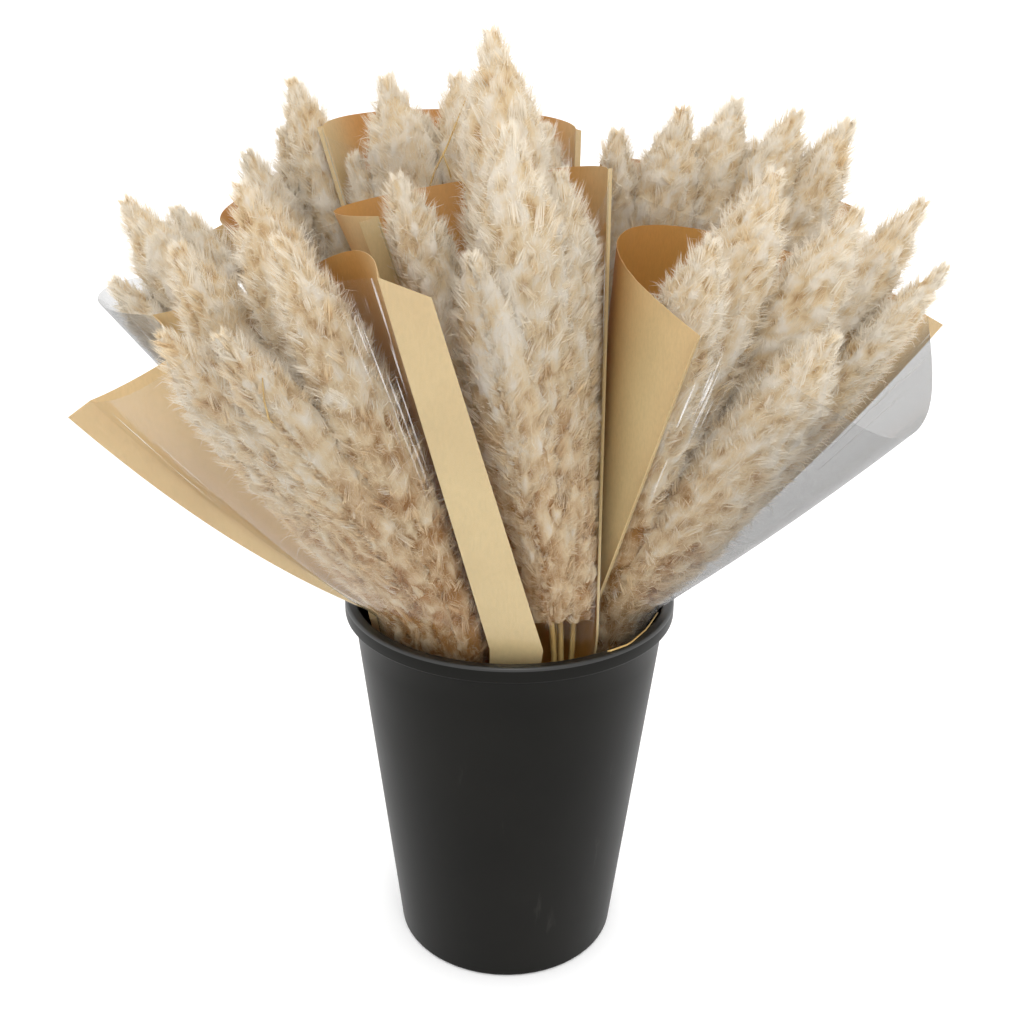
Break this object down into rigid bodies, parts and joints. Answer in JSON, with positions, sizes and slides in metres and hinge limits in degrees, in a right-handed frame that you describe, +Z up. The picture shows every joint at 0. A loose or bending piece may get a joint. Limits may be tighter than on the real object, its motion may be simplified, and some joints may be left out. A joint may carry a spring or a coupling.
{
  "type": "bucket of wrapped pampas grass bunches",
  "caption": "Tapered black florist's bucket filled with bunches of dried pampas grass, each in a sleeve of kraft paper with a clear film front.",
  "frame": {"origin": "middle of the bucket's base, on the surface that it stands on", "axes": "+Z up; -Y is the front, towards the picture's camera; +X is to the right as seen from the front"},
  "size_m": [0.6301, 0.3246, 0.728],
  "materials": {
    "bucket": "satin black-olive plastic, lightly scuffed",
    "paper": "matte kraft paper, lightly creased",
    "film": "clear glossy film",
    "plume": "soft dry fluff, cream to tan",
    "tie": "matte rubber band"
  },
  "bodies": {
    "root": {"bucket": "bucket", "paper_front_left": "paper", "paper_front_middle": "paper", "paper_front_right": "paper", "paper_side_left": "paper", "paper_back_left": "paper", "paper_back_middle": "paper", "paper_back_right": "paper", "film_front_left": "film", "film_front_middle": "film", "film_front_right": "film", "film_side_left": "film", "film_back_left": "film", "film_back_middle": "film", "film_back_right": "film", "tie_front_left": "tie", "tie_front_middle": "tie", "tie_front_right": "tie", "tie_side_left": "tie", "tie_back_left": "tie", "tie_back_middle": "tie", "tie_back_right": "tie", "plume_front_left_1": "plume", "plume_front_left_2": "plume", "plume_front_left_3": "plume", "plume_front_left_4": "plume", "plume_front_left_5": "plume", "plume_front_middle_1": "plume", "plume_front_middle_2": "plume", "plume_front_middle_3": "plume", "plume_front_middle_4": "plume", "plume_front_middle_5": "plume", "plume_front_right_1": "plume", "plume_front_right_2": "plume", "plume_front_right_3": "plume", "plume_front_right_4": "plume", "plume_front_right_5": "plume", "plume_front_right_6": "plume", "plume_side_left_1": "plume", "plume_side_left_2": "plume", "plume_side_left_3": "plume", "plume_back_left_1": "plume", "plume_back_left_2": "plume", "plume_back_left_3": "plume", "plume_back_middle_1": "plume", "plume_back_middle_2": "plume", "plume_back_middle_3": "plume", "plume_back_middle_4": "plume", "plume_back_middle_5": "plume", "plume_back_right_1": "plume", "plume_back_right_2": "plume", "plume_back_right_3": "plume", "plume_back_right_4": "plume", "plume_back_right_5": "plume"}
  },
  "joints": []
}
